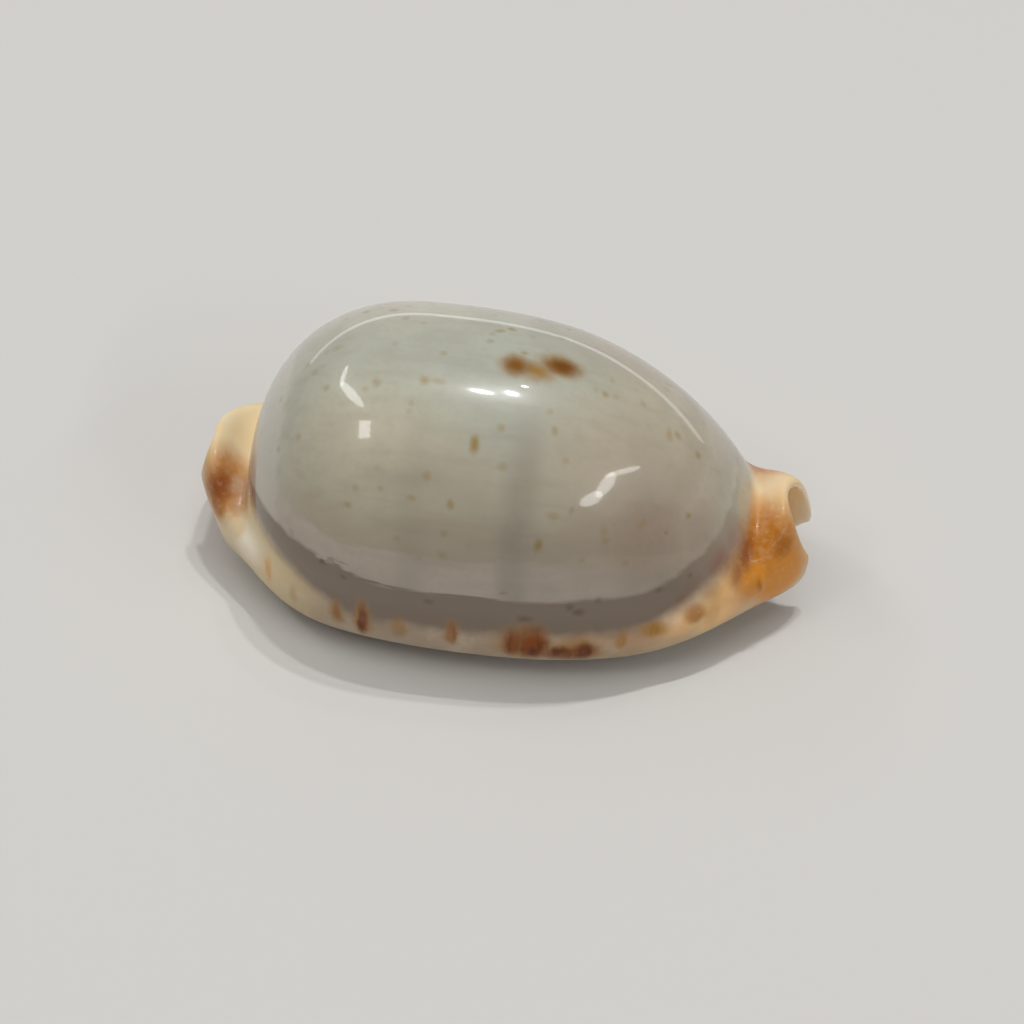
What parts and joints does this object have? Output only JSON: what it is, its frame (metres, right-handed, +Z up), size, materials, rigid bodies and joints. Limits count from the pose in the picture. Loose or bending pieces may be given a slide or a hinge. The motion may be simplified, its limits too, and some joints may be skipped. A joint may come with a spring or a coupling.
{
  "type": "cowrie shell",
  "caption": "Glossy egg-shaped cowrie shell with a domed back, a rim round its flat base, a toothed slit below and a spout at each end.",
  "frame": {"origin": "middle of the shell's box in X and Y, on the surface that its base rests on", "axes": "+X along the shell to its anterior end, +Y to the columella side, +Z up through the domed back"},
  "size_m": [0.0284, 0.0154, 0.0129],
  "materials": {
    "shell_glaze": "gloss, porcelain-like, grey back with a cream and brown rim"
  },
  "bodies": {
    "root": {"shell": "shell_glaze"}
  },
  "joints": []
}
